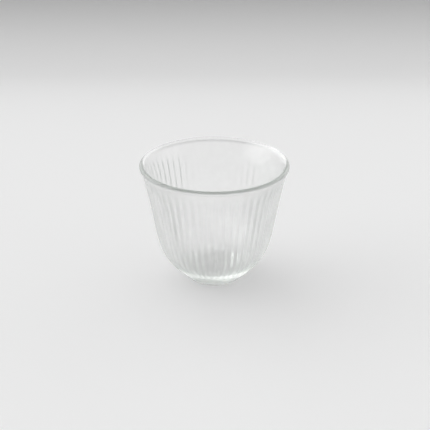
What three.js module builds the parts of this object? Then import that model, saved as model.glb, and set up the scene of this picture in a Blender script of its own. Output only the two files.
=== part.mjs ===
// A small coffee cup without a handle: one piece of clear pressed glass with upright ribs outside.
// Millimetres, +Z up. The origin is the centre of the foot, on the table.
import * as THREE from "three";

// Driving dimensions of the outside
const HEIGHT = 71;
const RIM_DIAMETER = 85; // over the lip, which is the widest place
const FOOT_DIAMETER = 29; // of the flat ring that stands on the table
const FOOT_RING_WIDTH = 3;
const FOOT_EDGE_RADIUS = 2.4; // rounds the ring into the heel
const PUNT_DEPTH = 0.5; // hollow under the foot, inside the ring
const HEEL_ANGLE = 43; // degrees above the table, where the wall leaves the foot
const HEEL_REACH = 29.4; // how far that slope pulls the curve of the wall
const FLARE_ANGLE = 13.3; // degrees out from upright, where the wall meets the lip
const FLARE_REACH = 49.8; // how far that flare pulls the curve of the wall

// Driving dimensions of the glass
const LIP_THICKNESS = 2.8; // of the round bead along the lip
const LIP_BULGE = 0.7; // how far the bead stands out from the wall
const LIP_FILLET = 0.8; // rounds the bead into the wall
const LIP_TAPER = 12; // height over which the wall thins towards the lip
const WALL_THICKNESS = 3; // on the crest of a rib
const BASE_THICKNESS = 12; // from the table to the inside floor
const COVE_RADIUS = 4; // rounds the inside floor into the wall

// Driving dimensions of the ribs
const RIB_COUNT = 56;
const RIB_DEPTH = 0.75; // from crest to valley where the cup is as wide as the rim, and less where the ribs crowd
const RIB_START = 9; // height of the lower ends
const LOWER_RUN_OUT = 3; // height over which the lower ends fade into plain glass
const UPPER_RUN_OUT = 8; // height over which the upper ends fade into plain glass
const PLAIN_BAND = 1; // height of plain glass from the upper ends to the bead's fillet

// Facets
const PLAIN_FACETS = 72; // round a plain level
const POINTS_PER_RIB = 5; // round a ribbed level
const STEPS = { punt: 3, footEdge: 2, heel: 2, runOut: 2, ribs: 7, fillet: 2, lip: 3, inside: 10, cove: 3 };

const { degToRad, lerp, smoothstep } = THREE.MathUtils;
const point = (radius, height) => new THREE.Vector2(radius, height);
const polar = (length, angle) => point(length * Math.cos(angle), length * Math.sin(angle));

// The outside of the wall is one curve, from the foot's rounded edge into the bead along the lip.
const TABLE_SIDE = -Math.PI / 2;
const heelAngle = degToRad(HEEL_ANGLE);
const flareAngle = degToRad(FLARE_ANGLE);
const lipRadius = LIP_THICKNESS / 2;
const footEdgeCentre = point(FOOT_DIAMETER / 2, FOOT_EDGE_RADIUS);
const lipCentre = point(RIM_DIAMETER / 2 - lipRadius, HEIGHT - lipRadius);

const wallFoot = footEdgeCentre.clone().add(polar(FOOT_EDGE_RADIUS, TABLE_SIDE + heelAngle));
const wallTop = lipCentre.clone().add(polar(lipRadius - LIP_BULGE, -flareAngle));
const wall = new THREE.CubicBezierCurve(
  wallFoot,
  wallFoot.clone().add(polar(HEEL_REACH, heelAngle)),
  wallTop.clone().add(polar(FLARE_REACH, TABLE_SIDE - flareAngle)),
  wallTop,
);

// The direction out of the glass, square to the outside of the wall.
function wallNormal(place) {
  const tangent = wall.getTangent(place);
  return point(tangent.y, -tangent.x);
}

// A point in the glass, at a depth below the outside of the wall.
function belowWall(place, depth) {
  return wall.getPoint(place).addScaledVector(wallNormal(place), -depth);
}

// The place along the wall, from 0 at the foot to 1 at the lip, up to which a condition holds.
function lastPlace(holds) {
  let low = 0;
  let high = 1;
  for (let halving = 0; halving < 40; halving += 1) {
    const middle = (low + high) / 2;
    if (holds(middle)) low = middle;
    else high = middle;
  }
  return low;
}

// The place along the wall where a depth in the glass reaches a height.
function placeAtHeight(height, depth = 0) {
  return lastPlace((place) => belowWall(place, depth).y < height);
}

// Evenly spaced places, with both ends.
function placesBetween(first, last, steps) {
  return Array.from({ length: steps + 1 }, (_, step) => lerp(first, last, step / steps));
}

function arcPoints(centre, radius, from, to, steps) {
  return new THREE.ArcCurve(centre.x, centre.y, radius, from, to, from > to).getPoints(steps);
}

function glassThickness(place) {
  const thinning = smoothstep(wall.getPoint(place).y, wallTop.y - LIP_TAPER, wallTop.y);
  return lerp(WALL_THICKNESS, LIP_THICKNESS - LIP_BULGE, thinning);
}

// The fillet under the bead touches both the wall and the bead.
const filletGap = (place) => belowWall(place, -LIP_FILLET).distanceTo(lipCentre) - lipRadius - LIP_FILLET;
const filletPlace = lastPlace((place) => filletGap(place) > 0);
const filletCentre = belowWall(filletPlace, -LIP_FILLET);
const filletToLip = lipCentre.clone().sub(filletCentre).angle();

const ribEnd = wall.getPoint(filletPlace).y - PLAIN_BAND;

// The ribs keep their proportions, so they grow shallower as they crowd towards the foot.
function ribDepth(place) {
  const { x: radius, y: height } = wall.getPoint(place);
  const rise = smoothstep(height, RIB_START, RIB_START + LOWER_RUN_OUT);
  const fall = smoothstep(height, ribEnd - UPPER_RUN_OUT, ribEnd);
  const crowding = radius / (RIM_DIAMETER / 2);
  return RIB_DEPTH * crowding * rise * (1 - fall);
}

// The cup is a stack of levels. Each is a circle, plain or waving between the crests and valleys of the ribs.
const plainLevel = (crest) => ({ crest });
const ribbedLevel = (place) => ({ crest: wall.getPoint(place), valley: belowWall(place, ribDepth(place)) });

// The underside: a shallow hollow, the flat ring that the cup stands on, and the ring's rounded edge.
function footLevels() {
  const ringInside = point(FOOT_DIAMETER / 2 - FOOT_RING_WIDTH, 0);
  const puntCentre = point(0, PUNT_DEPTH);
  const punt = new THREE.QuadraticBezierCurve(puntCentre, point(ringInside.x / 2, PUNT_DEPTH), ringInside);
  const edge = arcPoints(footEdgeCentre, FOOT_EDGE_RADIUS, TABLE_SIDE, TABLE_SIDE + heelAngle, STEPS.footEdge);
  return [...punt.getPoints(STEPS.punt), ...edge].map(plainLevel);
}

// The outside: a plain heel, then the ribs with a run-out at either end.
function outsideLevels() {
  const start = placeAtHeight(RIB_START);
  const fullFrom = placeAtHeight(RIB_START + LOWER_RUN_OUT);
  const fullTo = placeAtHeight(ribEnd - UPPER_RUN_OUT);
  const end = placeAtHeight(ribEnd);
  const plainHeel = placesBetween(0, start, STEPS.heel).slice(1, -1);
  const ribbed = [
    ...placesBetween(start, fullFrom, STEPS.runOut),
    ...placesBetween(fullFrom, fullTo, STEPS.ribs).slice(1, -1),
    ...placesBetween(fullTo, end, STEPS.runOut),
  ];
  return [...plainHeel.map((place) => plainLevel(wall.getPoint(place))), ...ribbed.map(ribbedLevel)];
}

// The lip: a fillet out of the wall, then a round bead over to the inside, with points at its widest place and top.
function lipLevels() {
  const filletToWall = wallNormal(filletPlace).negate().angle();
  const fillet = arcPoints(filletCentre, LIP_FILLET, filletToWall, filletToLip, STEPS.fillet);
  const under = arcPoints(lipCentre, lipRadius, filletToLip - Math.PI, 0, STEPS.lip);
  const rise = arcPoints(lipCentre, lipRadius, 0, Math.PI / 2, STEPS.lip);
  const fall = arcPoints(lipCentre, lipRadius, Math.PI / 2, Math.PI - flareAngle, STEPS.lip);
  return [...fillet, ...under.slice(1), ...rise.slice(1), ...fall.slice(1)].map(plainLevel);
}

// The inside: it follows the outside at the thickness of the glass, down to a rounded cove and a flat floor.
function insideLevels() {
  const coveDepth = WALL_THICKNESS + COVE_RADIUS;
  const coveTop = placeAtHeight(BASE_THICKNESS + COVE_RADIUS, coveDepth);
  const coveCentre = belowWall(coveTop, coveDepth);
  const toWall = wallNormal(coveTop);
  const wallSide = Math.atan2(toWall.y, toWall.x);
  const side = placesBetween(1, coveTop, STEPS.inside).slice(1, -1);
  const cove = arcPoints(coveCentre, COVE_RADIUS, wallSide, TABLE_SIDE, STEPS.cove);
  const floorCentre = point(0, BASE_THICKNESS);
  return [...side.map((place) => belowWall(place, glassThickness(place))), ...cove, floorCentre].map(plainLevel);
}

// The points round one level, from +X, where a crest lies. A level on the axis is a single point.
function levelPoints({ crest, valley = crest }) {
  if (crest.x === 0) return [new THREE.Vector3(0, 0, crest.y)];
  const ribbed = valley !== crest;
  const count = ribbed ? RIB_COUNT * POINTS_PER_RIB : PLAIN_FACETS;
  return Array.from({ length: count }, (_, index) => {
    const angle = (2 * Math.PI * index) / count;
    const towardsValley = (1 - Math.cos(angle * RIB_COUNT)) / 2;
    const section = crest.clone().lerp(valley, towardsValley);
    return new THREE.Vector3(section.x * Math.cos(angle), section.x * Math.sin(angle), section.y);
  });
}

// Joins two rings of vertex numbers with triangles, also where one has more points than the other.
function joinRings(lower, upper, triangles) {
  const edges = (ring) => (ring.length > 1 ? ring.length : 0);
  const next = (ring, done) => (done < edges(ring) ? (done + 1) / edges(ring) : Infinity);
  const vertex = (ring, index) => ring[index % ring.length];
  let low = 0;
  let high = 0;
  while (low < edges(lower) || high < edges(upper)) {
    if (next(lower, low) <= next(upper, high)) {
      triangles.push(vertex(lower, low), vertex(lower, low + 1), vertex(upper, high));
      low += 1;
    } else {
      triangles.push(vertex(lower, low), vertex(upper, high + 1), vertex(upper, high));
      high += 1;
    }
  }
}

function stackGeometry(levels) {
  const points = [];
  const triangles = [];
  const rings = levels.map((level) => levelPoints(level).map((position) => points.push(position) - 1));
  for (let index = 1; index < rings.length; index += 1) joinRings(rings[index - 1], rings[index], triangles);
  const geometry = new THREE.BufferGeometry().setFromPoints(points);
  geometry.setIndex(triangles);
  geometry.computeVertexNormals();
  return geometry;
}

const clearGlass = new THREE.MeshStandardMaterial({
  color: 0xdde6e1,
  roughness: 0.05,
  metalness: 0,
  transparent: true,
  opacity: 0.35,
});

const levels = [...footLevels(), ...outsideLevels(), ...lipLevels(), ...insideLevels()];
const glassCup = new THREE.Mesh(stackGeometry(levels), clearGlass);
glassCup.name = "glass_cup";

const coffeeCup = new THREE.Group();
coffeeCup.add(glassCup);

export default coffeeCup;
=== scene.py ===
# %% [markdown]
# # A ribbed glass coffee cup
# The real cup is one piece of clear pressed glass: a flared bell with a round bead along the lip,
# upright ribs on the outside, and a thick base on a small foot. Nothing on it comes apart and
# nothing moves. This lesson builds its finished surface in the box of the CAD part, gives it a
# material that bends and tints light as glass does, and sets it on a pale table in soft light.

# %% Load the CAD part as a fixed frame
import math

import bmesh
import bpy
import numpy as np
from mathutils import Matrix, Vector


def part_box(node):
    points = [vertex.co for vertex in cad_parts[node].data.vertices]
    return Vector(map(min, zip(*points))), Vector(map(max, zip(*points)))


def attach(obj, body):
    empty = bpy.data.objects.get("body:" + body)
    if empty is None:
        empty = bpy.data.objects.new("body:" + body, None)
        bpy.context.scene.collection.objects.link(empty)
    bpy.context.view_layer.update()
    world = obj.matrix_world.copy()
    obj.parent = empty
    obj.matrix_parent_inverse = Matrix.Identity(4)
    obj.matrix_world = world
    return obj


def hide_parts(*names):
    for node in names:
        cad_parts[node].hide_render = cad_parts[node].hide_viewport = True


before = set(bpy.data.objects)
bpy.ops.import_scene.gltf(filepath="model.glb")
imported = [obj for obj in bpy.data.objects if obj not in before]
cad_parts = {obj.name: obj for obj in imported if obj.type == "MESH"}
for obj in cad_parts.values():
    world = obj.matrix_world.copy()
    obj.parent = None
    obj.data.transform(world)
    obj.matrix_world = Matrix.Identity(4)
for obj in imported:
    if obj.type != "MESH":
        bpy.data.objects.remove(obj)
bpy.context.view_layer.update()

MM = 0.001

# %% [markdown]
# ## Sizes
# A turned shape is drawn from one half-section, so a few sizes say everything. The height and the
# rim come from the CAD box, so the two models can't drift apart. The other sizes repeat those of
# the CAD source. They are written in millimetres, and turned into Blender's metres once, here.

# %% Sizes of the section
node_low, node_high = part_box("glass_cup")
HEIGHT = node_high.z - node_low.z
RIM_RADIUS = node_high.x

FOOT_RADIUS = 14.5 * MM
FOOT_RING_WIDTH = 3 * MM
FOOT_EDGE_RADIUS = 2.4 * MM
PUNT_DEPTH = 0.5 * MM
HEEL_ANGLE = math.radians(43)
HEEL_REACH = 29.4 * MM
FLARE_ANGLE = math.radians(13.3)
FLARE_REACH = 49.8 * MM
LIP_THICKNESS = 2.8 * MM
LIP_BULGE = 0.7 * MM
LIP_FILLET = 0.8 * MM
LIP_TAPER = 12 * MM
WALL_THICKNESS = 3 * MM
BASE_THICKNESS = 12 * MM
COVE_RADIUS = 4 * MM
print("rim", round(2 * RIM_RADIUS / MM, 2), "mm, height", round(HEIGHT / MM, 2), "mm")

# %% [markdown]
# ## The curve of the wall
# The outside of the bell leaves the foot at a slope, turns upright and flares into the lip. One
# cubic Bezier curve does that: its two end directions are the heel angle and the flare angle, and
# its two handle lengths say how long the curve holds each direction. A spline through many points
# would need more numbers and would wobble between them, and glass shows every wobble.

# %% Ends and handles of the wall curve
TABLE_SIDE = -math.pi / 2


def polar(length, angle):
    return length * np.array([math.cos(angle), math.sin(angle)])


lip_radius = LIP_THICKNESS / 2
foot_edge_centre = np.array([FOOT_RADIUS, FOOT_EDGE_RADIUS])
lip_centre = np.array([RIM_RADIUS - lip_radius, HEIGHT - lip_radius])

wall_foot = foot_edge_centre + polar(FOOT_EDGE_RADIUS, TABLE_SIDE + HEEL_ANGLE)
wall_top = lip_centre + polar(lip_radius - LIP_BULGE, -FLARE_ANGLE)
heel_handle = wall_foot + polar(HEEL_REACH, HEEL_ANGLE)
flare_handle = wall_top + polar(FLARE_REACH, TABLE_SIDE - FLARE_ANGLE)
print("the wall runs from", np.round(wall_foot / MM, 2), "to", np.round(wall_top / MM, 2), "mm")

# %% [markdown]
# Three questions are asked of that curve again and again: where is it at a given place, which way
# is out of the glass there, and what lies at some depth below it. A place is a share of the curve,
# from 0 at the foot to 1 at the lip. A fourth helper finds the last place where something still
# holds, by halving.

# %% Questions to ask of the wall curve
HALVINGS = 40


def wall_point(place):
    rest = 1 - place
    near_foot = rest**3 * wall_foot + 3 * rest**2 * place * heel_handle
    return near_foot + 3 * rest * place**2 * flare_handle + place**3 * wall_top


def wall_normal(place):
    rest = 1 - place
    tangent = rest**2 * (heel_handle - wall_foot) + 2 * rest * place * (flare_handle - heel_handle)
    tangent += place**2 * (wall_top - flare_handle)
    tangent /= np.linalg.norm(tangent)
    return np.array([tangent[1], -tangent[0]])


def below_wall(place, depth):
    return wall_point(place) - depth * wall_normal(place)


def last_place(holds):
    low, high = 0.0, 1.0
    for _ in range(HALVINGS):
        middle = (low + high) / 2
        if holds(middle):
            low = middle
        else:
            high = middle
    return low


print("halfway up, the wall is", round(wall_point(0.5)[0] / MM, 2), "mm from the axis")

# %% [markdown]
# ## The thickness of the glass
# The bead stands out from the wall, while the inside runs smoothly over the lip for drinking. So
# the glass thins gently towards the top, down to the bead's thickness less what the bead stands
# out. A smoothstep does that without a crease, and the lens of the wall changes just as gently.

# %% Thickness of the glass at a place
def smoothstep(low, high, value):
    share = min(max((value - low) / (high - low), 0), 1)
    return share * share * (3 - 2 * share)


def glass_thickness(place):
    lip_side = LIP_THICKNESS - LIP_BULGE
    drop = wall_top[1] - wall_point(place)[1]
    return lip_side + (WALL_THICKNESS - lip_side) * smoothstep(0, LIP_TAPER, drop)


lip_glass, middle_glass = (round(glass_thickness(place) / MM, 2) for place in (1, 0.5))
print("glass at the lip:", lip_glass, "mm, halfway up:", middle_glass, "mm")

# %% [markdown]
# ## The half-section
# A turned shape is easiest to check as one line: from the centre of the underside, round the foot,
# up the outside, over the lip, down the inside and back to the axis. Each part of it is an arc or a
# curve with its own number of steps: many where the surface turns quickly, few where it is flat.
# The underside has a shallow hollow, the punt, so that the cup stands on a ring and doesn't rock.

# %% Punt and foot
STEPS = {
    "punt": 10,
    "foot_edge": 7,
    "wall": 55,
    "fillet": 8,
    "bead_under": 8,
    "bead_over": 20,
    "inside": 45,
    "cove": 12,
    "floor": 3,
}


def arc(centre, radius, start, end, steps):
    return [centre + polar(radius, angle) for angle in np.linspace(start, end, steps + 1)]


ring_inside = FOOT_RADIUS - FOOT_RING_WIDTH
punt_shares = np.linspace(0, 1, STEPS["punt"] + 1)
punt = [np.array([ring_inside * share, PUNT_DEPTH * (1 - share**2)]) for share in punt_shares]
ring_middle = [np.array([(ring_inside + FOOT_RADIUS) / 2, 0])]
heel_side = TABLE_SIDE + HEEL_ANGLE
foot_edge = arc(foot_edge_centre, FOOT_EDGE_RADIUS, TABLE_SIDE, heel_side, STEPS["foot_edge"])
foot = punt + ring_middle + foot_edge
ring_reach = [round(radius / MM, 2) for radius in (ring_inside, FOOT_RADIUS)]
print("the foot ring reaches from", ring_reach[0], "to", ring_reach[1], "mm from the axis")

# %% [markdown]
# The lip is a round bead, and a small fillet leads the wall into it. The fillet touches both, so its
# centre lies one fillet radius from the wall and one fillet radius from the bead. There is no neat
# formula for that place, so the halving helper finds it.

# %% Outside wall, fillet and bead
def clears_bead(place):
    to_bead = np.linalg.norm(below_wall(place, -LIP_FILLET) - lip_centre)
    return to_bead > lip_radius + LIP_FILLET


def direction(vector):
    return math.atan2(vector[1], vector[0])


fillet_place = last_place(clears_bead)
fillet_centre = below_wall(fillet_place, -LIP_FILLET)
to_wall = direction(-wall_normal(fillet_place))
to_bead = direction(lip_centre - fillet_centre)

wall_places = np.linspace(0, fillet_place, STEPS["wall"] + 1)[1:]
wall = [wall_point(place) for place in wall_places]
fillet = arc(fillet_centre, LIP_FILLET, to_wall, to_bead, STEPS["fillet"])[1:]
bead_under = arc(lip_centre, lip_radius, to_bead - math.pi, 0, STEPS["bead_under"])[1:]
bead_over = arc(lip_centre, lip_radius, 0, math.pi - FLARE_ANGLE, STEPS["bead_over"])[1:]
print("the ribbed wall ends", round((HEIGHT - wall[-1][1]) / MM, 2), "mm below the rim")

# %% [markdown]
# Inside, the glass follows the outside at its own thickness, down to a cove that rounds into the
# flat floor. The base is four times as thick as the wall. That is what makes such a cup stand
# firmly, and what turns its foot into a lens.

# %% Inside wall, cove and floor
cove_depth = WALL_THICKNESS + COVE_RADIUS


def below_cove_top(place):
    return below_wall(place, cove_depth)[1] < BASE_THICKNESS + COVE_RADIUS


cove_top = last_place(below_cove_top)
cove_centre = below_wall(cove_top, cove_depth)
inside_places = np.linspace(1, cove_top, STEPS["inside"] + 1)[1:-1]
inside = [below_wall(place, glass_thickness(place)) for place in inside_places]
wall_side = direction(wall_normal(cove_top))
cove = arc(cove_centre, COVE_RADIUS, wall_side, TABLE_SIDE, STEPS["cove"])
floor_radius = cove[-1][0]
floor_shares = np.linspace(1, 0, STEPS["floor"] + 1)[1:]
inside_floor = [np.array([floor_radius * share, BASE_THICKNESS]) for share in floor_shares]

section = np.array(foot + wall + fillet + bead_under + bead_over + inside + cove + inside_floor)
print("rows in the half-section:", len(section))
print("flat floor radius:", round(floor_radius / MM, 2), "mm")

# %% [markdown]
# ## The section as a mesh that carries directions
# The ribs are pressed in square to the wall, so every point of the section needs to know which way
# is out of the glass, and whether it lies on the ribbed outside at all. Mesh attributes are the
# natural place to keep such facts, because Geometry Nodes can read them by name.

# %% Section mesh with its attributes
section_mesh = bpy.data.meshes.new("cup_section")
section_points = [(radius, 0, height) for radius, height in section]
section_edges = [(row, row + 1) for row in range(len(section) - 1)]
section_mesh.from_pydata(section_points, section_edges, [])

outward = np.zeros((len(section), 3), np.float32)
on_outside = np.zeros(len(section), np.float32)
for row, place in enumerate(wall_places, start=len(foot)):
    outward[row, [0, 2]] = wall_normal(place)
    on_outside[row] = 1

outward_layer = section_mesh.attributes.new("outward", "FLOAT_VECTOR", "POINT")
outward_layer.data.foreach_set("vector", outward.ravel())
outside_layer = section_mesh.attributes.new("on_outside", "FLOAT", "POINT")
outside_layer.data.foreach_set("value", on_outside)

cup = bpy.data.objects.new("ribbed_glass_cup", section_mesh)
bpy.context.scene.collection.objects.link(cup)
print("rows that carry ribs:", int(on_outside.sum()))

# %% [markdown]
# ## Helpers for node trees
# The cup's shape, the glass, the table and the room are all node trees. `wire` joins an output to
# an input, or sets a plain value there. `add` makes a node with its settings and its inputs, in any
# tree. `maths` adds a node that works out one number from two.

# %% Helpers for wiring
def wire(tree, value, socket):
    if isinstance(value, bpy.types.NodeSocket):
        tree.links.new(value, socket)
    else:
        socket.default_value = value


def add(tree, kind, inputs=None, **settings):
    node = tree.nodes.new(kind)
    for name, value in settings.items():
        setattr(node, name, value)
    for name, value in (inputs or {}).items():
        wire(tree, value, node.inputs[name])
    return node


def maths(tree, operation, first, second=0.0):
    return add(tree, "ShaderNodeMath", {0: first, 1: second}, operation=operation).outputs[0]


print("helpers ready")

# %% [markdown]
# ## A node tree that turns the section and presses the ribs
# Ribs follow a rule: the same wave, so many times round, fading out at both ends. That is work for
# Geometry Nodes, with the count and the sizes as named inputs. A lathe tool could turn the plain
# bowl and a displacement could follow, but then the ribs would be at the mercy of the mesh. Here
# the tree lays out a grid with one column for each step round the cup, and puts every point
# straight in its place.

# %% Start the tree and name its inputs
press_tree = bpy.data.node_groups.new("ribbed_cup", "GeometryNodeTree")
INPUT_KINDS = {
    "Section": "NodeSocketGeometry",
    "Rib Count": "NodeSocketInt",
    "Points per Rib": "NodeSocketInt",
    "Rib Depth": "NodeSocketFloat",
    "Rim Radius": "NodeSocketFloat",
    "Rib Start": "NodeSocketFloat",
    "Rib End": "NodeSocketFloat",
    "Lower Run-out": "NodeSocketFloat",
    "Upper Run-out": "NodeSocketFloat",
    "Glass": "NodeSocketMaterial",
}
input_ids = {}
for name, kind in INPUT_KINDS.items():
    socket = press_tree.interface.new_socket(name=name, in_out="INPUT", socket_type=kind)
    input_ids[name] = socket.identifier
press_tree.interface.new_socket(name="Cup", in_out="OUTPUT", socket_type="NodeSocketGeometry")

size = press_tree.nodes.new("NodeGroupInput").outputs
result = press_tree.nodes.new("NodeGroupOutput").inputs


def press_add(kind, inputs=None, **settings):
    return add(press_tree, kind, inputs, **settings)


def press_maths(operation, first, second=0.0):
    return maths(press_tree, operation, first, second)


print("inputs of the tree:", ", ".join(input_ids))

# %% [markdown]
# The grid has as many rows as the section has points, and one more column than steps round the cup,
# so that its last column closes on its first. A point's number in the grid then says which row of
# the section it belongs to, and how far round it stands.

# %% Grid of rows and columns
section_input = {"Geometry": size["Section"]}
section_size = press_add("GeometryNodeAttributeDomainSize", section_input, component="MESH")
steps_round = press_maths("MULTIPLY", size["Rib Count"], size["Points per Rib"])
columns = press_maths("ADD", steps_round, 1.0)
grid_size = {"Vertices X": section_size.outputs["Point Count"], "Vertices Y": columns}
grid = press_add("GeometryNodeMeshGrid", grid_size)

number = press_add("GeometryNodeInputIndex").outputs[0]
grid_row = press_maths("FLOOR", press_maths("DIVIDE", number, columns))
grid_column = press_maths("SUBTRACT", number, press_maths("MULTIPLY", grid_row, columns))
turn = press_maths("MULTIPLY", press_maths("DIVIDE", grid_column, steps_round), 2 * math.pi)
print("nodes so far:", len(press_tree.nodes))

# %% [markdown]
# Each grid point looks up its row: where the section lies, which way is out, and whether ribs
# belong there.

# %% Look up the section
def from_section(value, data_type):
    inputs = {"Geometry": size["Section"], "Value": value, "Index": grid_row}
    node = press_add("GeometryNodeSampleIndex", inputs, data_type=data_type, domain="POINT")
    return node.outputs["Value"]


def named(name, data_type):
    node = press_add("GeometryNodeInputNamedAttribute", {"Name": name}, data_type=data_type)
    return node.outputs["Attribute"]


section_place = from_section(press_add("GeometryNodeInputPosition").outputs[0], "FLOAT_VECTOR")
out_of_glass = from_section(named("outward", "FLOAT_VECTOR"), "FLOAT_VECTOR")
ribbed_row = from_section(named("on_outside", "FLOAT"), "FLOAT")
section_axes = press_add("ShaderNodeSeparateXYZ", {0: section_place}).outputs
print("nodes so far:", len(press_tree.nodes))

# %% [markdown]
# The mould leaves each rib with a soft end. Two smooth ramps in height make the run-outs, and a
# cosine round the cup makes crests and valleys. The ribs crowd together towards the foot and keep
# their proportions, so their depth follows the radius. The crest stays on the section, which is the
# cup's outline, and the valley is cut below it.

# %% Ribs and their run-outs
def ramp(low, high):
    inputs = {"Value": section_axes["Z"], "From Min": low, "From Max": high}
    return press_add("ShaderNodeMapRange", inputs, interpolation_type="SMOOTHSTEP").outputs["Result"]


def press_vector(operation, inputs):
    return press_add("ShaderNodeVectorMath", inputs, operation=operation).outputs[0]


rise = ramp(size["Rib Start"], press_maths("ADD", size["Rib Start"], size["Lower Run-out"]))
fall = ramp(press_maths("SUBTRACT", size["Rib End"], size["Upper Run-out"]), size["Rib End"])
run_outs = press_maths("MULTIPLY", rise, press_maths("SUBTRACT", 1.0, fall))
rib_share = press_maths("MULTIPLY", run_outs, ribbed_row)
crowding = press_maths("DIVIDE", section_axes["X"], size["Rim Radius"])
depth = press_maths("MULTIPLY", press_maths("MULTIPLY", size["Rib Depth"], crowding), rib_share)

wave = press_maths("COSINE", press_maths("MULTIPLY", turn, size["Rib Count"]))
to_valley = press_maths("MULTIPLY", press_maths("SUBTRACT", 1.0, wave), 0.5)
cut = press_maths("MULTIPLY", depth, to_valley)
cut_vector = press_vector("SCALE", {0: out_of_glass, "Scale": cut})
cut_place = press_vector("SUBTRACT", {0: section_place, 1: cut_vector})
print("nodes so far:", len(press_tree.nodes))

# %% [markdown]
# At last the point is turned about the axis. Merging by distance closes the seam and gathers the
# points on the axis into single poles, so the skin is watertight, which glass needs: Cycles tells
# inside from outside by it.

# %% Turn, close and finish the surface
MERGE_DISTANCE = 0.001 * MM


def finish_step(kind, geometry, inputs=None):
    node = press_add(kind, inputs)
    wire(press_tree, geometry, node.inputs[0])
    return node.outputs[0]


turn_inputs = {"Vector": cut_place, "Angle": turn}
turned = press_add("ShaderNodeVectorRotate", turn_inputs, rotation_type="Z_AXIS").outputs[0]
skin = finish_step("GeometryNodeSetPosition", grid.outputs["Mesh"], {"Position": turned})
skin = finish_step("GeometryNodeMergeByDistance", skin, {"Distance": MERGE_DISTANCE})
skin = finish_step("GeometryNodeFlipFaces", skin)
skin = finish_step("GeometryNodeSetShadeSmooth", skin, {"Shade Smooth": True})
skin = finish_step("GeometryNodeRealizeInstances", skin)
skin = finish_step("GeometryNodeSetMaterial", skin, {"Material": size["Glass"]})
wire(press_tree, skin, result["Cup"])
print("finished tree:", len(press_tree.nodes), "nodes")

# %% [markdown]
# ## The glass
# Clear table glass has a refractive index of about 1.52 and is a touch green where it is thick. A
# coloured shader would tint every place alike, so an absorbing volume does it instead: thin walls
# stay clear, and the lip and the base, where light runs far through the glass, take the tint.

# %% Glass with a tinted volume
GLASS_TINT = (0.80, 0.92, 0.82, 1)
TINT_DENSITY = 6.0

glass = bpy.data.materials.new("clear_pressed_glass")
glass.use_nodes = True
glass_tree = glass.node_tree
glass_tree.nodes.clear()
glass_output = add(glass_tree, "ShaderNodeOutputMaterial").inputs
tint = {"Color": GLASS_TINT, "Density": TINT_DENSITY}
absorption = add(glass_tree, "ShaderNodeVolumeAbsorption", tint)
wire(glass_tree, absorption.outputs[0], glass_output["Volume"])
print("tint", GLASS_TINT[:3], "with density", TINT_DENSITY)

# %% [markdown]
# Pressed glass copies the skin of its mould, so it isn't as clear as blown glass. Most light passes
# straight through that skin and a part of it is scattered. One shader of middling roughness would
# blur everything alike, so two are mixed, a clear one and a hazy one. A noise on Object coordinates
# sets the share of haze, a little more in some places than in others.

# %% Clear and hazy skin
GLASS_INDEX = 1.52
GLASS_COLOUR = (1, 1, 1, 1)
CLEAR_ROUGH = 0.03
HAZY_ROUGH = 0.28
HAZE_LEAST = 0.26
HAZE_MOST = 0.30
CLOUDS_PER_METRE = 60
CLOUD_DETAIL = 3
CLOUD_LOW = 0.3
CLOUD_HIGH = 0.7


def glass_skin(roughness):
    inputs = {"Base Color": GLASS_COLOUR, "IOR": GLASS_INDEX, "Transmission Weight": 1}
    inputs["Roughness"] = roughness
    return add(glass_tree, "ShaderNodeBsdfPrincipled", inputs).outputs[0]


on_cup = add(glass_tree, "ShaderNodeTexCoord").outputs["Object"]
cloud_inputs = {"Vector": on_cup, "Scale": CLOUDS_PER_METRE, "Detail": CLOUD_DETAIL}
cloud = add(glass_tree, "ShaderNodeTexNoise", cloud_inputs).outputs["Fac"]
haze_range = {"From Min": CLOUD_LOW, "From Max": CLOUD_HIGH, "To Min": HAZE_LEAST, "To Max": HAZE_MOST}
haze = add(glass_tree, "ShaderNodeMapRange", {"Value": cloud, **haze_range}).outputs["Result"]
skins = {0: haze, 1: glass_skin(CLEAR_ROUGH), 2: glass_skin(HAZY_ROUGH)}
mixed_skin = add(glass_tree, "ShaderNodeMixShader", skins)
wire(glass_tree, mixed_skin.outputs[0], glass_output["Surface"])
print("haze from", HAZE_LEAST, "to", HAZE_MOST, "over glass with index", GLASS_INDEX)

# %% [markdown]
# ## Press the cup
# The tree becomes a modifier on the section. Its inputs are set by identifier before anything is
# evaluated, then the evaluated result is copied into a plain mesh and the modifier goes, so that
# the finished cup is ordinary geometry that any program can read.

# %% Rib sizes
RIB_COUNT = 56
POINTS_PER_RIB = 10
RIB_DEPTH = 0.75 * MM
RIB_START = 9 * MM
LOWER_RUN_OUT = 3 * MM
UPPER_RUN_OUT = 8 * MM
PLAIN_BAND = 1 * MM

rib_end = wall[-1][1] - PLAIN_BAND
press_values = {
    "Rib Count": RIB_COUNT,
    "Points per Rib": POINTS_PER_RIB,
    "Rib Depth": RIB_DEPTH,
    "Rim Radius": RIM_RADIUS,
    "Rib Start": RIB_START,
    "Rib End": rib_end,
    "Lower Run-out": LOWER_RUN_OUT,
    "Upper Run-out": UPPER_RUN_OUT,
    "Glass": glass,
}
print(RIB_COUNT, "ribs, up to", round(rib_end / MM, 2), "mm above the table")

# %% Set the inputs and keep the plain mesh
press = cup.modifiers.new("press", "NODES")
press.node_group = press_tree
for name, value in press_values.items():
    press[input_ids[name]] = value

graph = bpy.context.evaluated_depsgraph_get()
cup_mesh = bpy.data.meshes.new_from_object(cup.evaluated_get(graph))
cup.modifiers.remove(press)
cup.data = cup_mesh
cup_mesh.name = "ribbed_glass_cup"
cup_mesh.materials.pop(index=0)  # the section's own empty slot, before the glass
bpy.data.meshes.remove(section_mesh)
triangles = sum(len(face.vertices) - 2 for face in cup_mesh.polygons)
print("the cup has", len(cup_mesh.vertices), "points and", triangles, "triangles")

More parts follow.
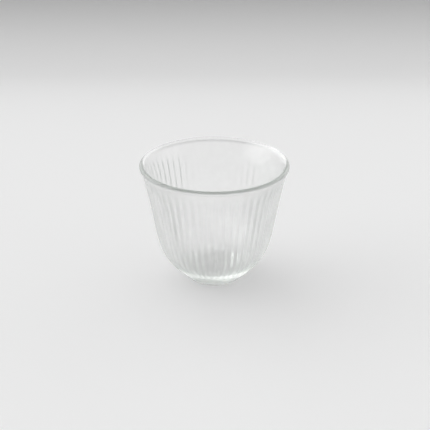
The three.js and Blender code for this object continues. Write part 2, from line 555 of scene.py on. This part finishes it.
# %% [markdown]
# A skin is closed when every edge has exactly two faces, and it faces outwards when the volume that
# it encloses counts as positive. Both are measured here, because a hole or a flipped face would
# show in glass at once.

# %% Check that the skin is closed and faces outwards
CUBIC_METRE_IN_ML = 1e6

skin_check = bmesh.new()
skin_check.from_mesh(cup_mesh)
open_edges = sum(1 for edge in skin_check.edges if len(edge.link_faces) != 2)
volume = skin_check.calc_volume(signed=True)
skin_check.free()
print("open edges:", open_edges, "glass volume:", round(volume * CUBIC_METRE_IN_ML, 2), "ml")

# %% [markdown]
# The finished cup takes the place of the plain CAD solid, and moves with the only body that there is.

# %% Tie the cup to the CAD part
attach(cup, "root")
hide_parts("glass_cup")
print("materials:", [slot.material.name for slot in cup.material_slots])

# %% [markdown]
# ## Table and backdrop
# Clear glass has hardly any look of its own: it shows what lies round it. So the pale table sweeps
# up into a low backdrop in one bent sheet, without an edge that would draw a line through the cup.
# The backdrop is low, so that light from the windows behind it still reaches the cup. From here on
# lengths are in metres.

# %% Swept table
TABLE_FRONT = -1.2
TABLE_HALF_WIDTH = 1.5
BEND_START = 0.38
BEND_RADIUS = 0.07
BEND_STEPS = 24
BACKDROP_TOP = 0.075

bend_centre = np.array([BEND_START, BEND_RADIUS])
bend = arc(bend_centre, BEND_RADIUS, TABLE_SIDE, 0, BEND_STEPS)
front_edge = np.array([TABLE_FRONT, 0])
top_edge = np.array([BEND_START + BEND_RADIUS, BACKDROP_TOP])
sweep = [front_edge] + bend + [top_edge]
table_points = [(side * TABLE_HALF_WIDTH, y, z) for y, z in sweep for side in (-1, 1)]
table_faces = [(2 * i, 2 * i + 1, 2 * i + 3, 2 * i + 2) for i in range(len(sweep) - 1)]
table_mesh = bpy.data.meshes.new("table_sweep")
table_mesh.from_pydata(table_points, [], table_faces)
table_mesh.polygons.foreach_set("use_smooth", [True] * len(table_faces))
table = bpy.data.objects.new("table_sweep", table_mesh)
bpy.context.scene.collection.objects.link(table)
print("table sheet of", len(table_faces), "faces")

# %% [markdown]
# The table is matt and pale. Where it climbs its colour is painted greyer, a painted shade for the
# dimmer light that reaches the far side of a room. It takes the cup's shadow. Under the thick base
# that shadow would be darker than in a bright room, where pale walls throw light back from every
# side, so the table also glows for the rays that look at it: those of the camera, and those that
# come through or off the glass. That glow lights nothing else.

# %% Table finish
TABLE_COLOUR = (0.62, 0.62, 0.62, 1)
# painted shade: the backdrop's colour is darker than the table's, standing in for the dimmer light
# where it climbs
BACKDROP_SHADED_COLOUR = (0.34, 0.34, 0.34, 1)
PAINTED_SHADE_RISE = 0.10
TABLE_GLOW = 0.44
TABLE_ROUGH = 0.9
TABLE_GLOSS = 0.1
MIX_FIRST = 6  # the Mix node has a pair of inputs for each kind of value, and these two take colours
MIX_SECOND = 7
MIX_RESULT = 2

paper = bpy.data.materials.new("pale_table")
paper.use_nodes = True
paper_tree = paper.node_tree
on_table = add(paper_tree, "ShaderNodeTexCoord").outputs["Object"]
table_height = add(paper_tree, "ShaderNodeSeparateXYZ", {0: on_table}).outputs["Z"]
# the painted shade fades in with height, from the table colour to the darker backdrop colour
painted_shade_range = {"Value": table_height, "From Min": 0.0, "From Max": PAINTED_SHADE_RISE}
painted_shade_fade = add(paper_tree, "ShaderNodeMapRange", painted_shade_range, interpolation_type="SMOOTHSTEP")
shades = {0: painted_shade_fade.outputs["Result"], MIX_FIRST: TABLE_COLOUR, MIX_SECOND: BACKDROP_SHADED_COLOUR}
colour_with_painted_shade = add(paper_tree, "ShaderNodeMix", shades, data_type="RGBA").outputs[MIX_RESULT]

rays = add(paper_tree, "ShaderNodeLightPath").outputs
seen = maths(paper_tree, "MAXIMUM", rays["Is Camera Ray"], rays["Is Glossy Ray"])
seen = maths(paper_tree, "MAXIMUM", seen, rays["Is Transmission Ray"])
glow = maths(paper_tree, "MULTIPLY", seen, TABLE_GLOW)

matt = {"Base Color": colour_with_painted_shade, "Roughness": TABLE_ROUGH, "Specular IOR Level": TABLE_GLOSS}
glowing = {"Emission Color": colour_with_painted_shade, "Emission Strength": glow}
for name, value in {**matt, **glowing}.items():
    wire(paper_tree, value, paper_tree.nodes["Principled BSDF"].inputs[name])
table_mesh.materials.append(paper)
print("table colour", TABLE_COLOUR[:3], "with a glow of", TABLE_GLOW)

# %% [markdown]
# ## Light
# Glass is lit by what surrounds it, not by what shines at it. Lamps would draw hard sparks on every
# rib, so the room itself is the light: pale walls of one level all round, and soft round windows in
# them, the strongest on the left. Each window is a bright patch in one direction that fades towards
# its edge, given by the angle round the cup, from the back over the right, by the angle above the
# table, and by its strength. The walls are darker than the table, and that draws the grey lines
# along the lip and the ribs.

# %% Room with windows
ROOM_COLOUR = (1, 1, 1, 1)
ROOM_LEVEL = 0.47
WINDOW_EDGE = math.cos(math.radians(42))
WINDOW_MIDDLE = math.cos(math.radians(3))
WINDOWS = [
    (-90, 10, 2.2),
    (-45, 10, 0.9),
    (-45, 40, 0.8),
    (0, 32, 0.45),
    (45, 10, 1.0),
    (90, 10, 0.5),
]

room = bpy.data.worlds.new("room")
room.use_nodes = True
bpy.context.scene.world = room
room_tree = room.node_tree
looking = add(room_tree, "ShaderNodeTexCoord").outputs["Generated"]
level = ROOM_LEVEL
for azimuth, elevation, strength in WINDOWS:
    across, up = math.radians(azimuth), math.radians(elevation)
    level_reach = math.cos(up)
    towards = (level_reach * math.sin(across), level_reach * math.cos(across), math.sin(up))
    directions = {0: looking, 1: towards}
    facing = add(room_tree, "ShaderNodeVectorMath", directions, operation="DOT_PRODUCT")
    patch_range = {"From Min": WINDOW_EDGE, "From Max": WINDOW_MIDDLE, "To Max": strength}
    patch_range["Value"] = facing.outputs["Value"]
    patch = add(room_tree, "ShaderNodeMapRange", patch_range, interpolation_type="SMOOTHSTEP")
    level = maths(room_tree, "ADD", level, patch.outputs["Result"])
background = room_tree.nodes["Background"]
background.inputs["Color"].default_value = ROOM_COLOUR
wire(room_tree, level, background.inputs["Strength"])
print("windows in the room:", len(WINDOWS))

# %% [markdown]
# ## Camera
# The viewing angle is read from the rim: a circle seen at a slant is an ellipse, and its proportions
# give the camera's pitch. The picture is square and 430 pixels wide, so a focal length in pixels
# turns into millimetres on Blender's 36 mm sensor by a simple ratio.

# %% Camera at the photograph's angle
IMAGE_WIDTH = 430
SENSOR_WIDTH = 36
FOCAL_PIXELS = 1000
AXIS_PIXEL = 214.4
PITCH = math.radians(25.135)
DISTANCE = 0.58017
LOOK_HEIGHT = 0.038158

camera_data = bpy.data.cameras.new("camera")
camera_data.sensor_width = SENSOR_WIDTH
camera_data.lens = FOCAL_PIXELS * SENSOR_WIDTH / IMAGE_WIDTH
camera_data.shift_x = (IMAGE_WIDTH / 2 - AXIS_PIXEL) / IMAGE_WIDTH
camera = bpy.data.objects.new("camera", camera_data)
camera_height = LOOK_HEIGHT + DISTANCE * math.sin(PITCH)
camera.location = (0, -DISTANCE * math.cos(PITCH), camera_height)
camera.rotation_euler = (math.pi / 2 - PITCH, 0, 0)
bpy.context.scene.collection.objects.link(camera)
bpy.context.scene.camera = camera
print("lens", round(camera_data.lens, 2), "mm")

# %% [markdown]
# ## Picture settings
# Light runs round inside a glass lip many times before it leaves. With Blender's usual limit of
# bounces such paths are cut short and the lip turns dark, so the limits for glass are raised. The
# Standard view keeps colours as they are written.

# %% View and bounces
GLASS_BOUNCES = 64

scene = bpy.context.scene
scene.view_settings.view_transform = "Standard"
scene.cycles.max_bounces = GLASS_BOUNCES
scene.cycles.glossy_bounces = GLASS_BOUNCES
scene.cycles.transmission_bounces = GLASS_BOUNCES
print("bounces", GLASS_BOUNCES)
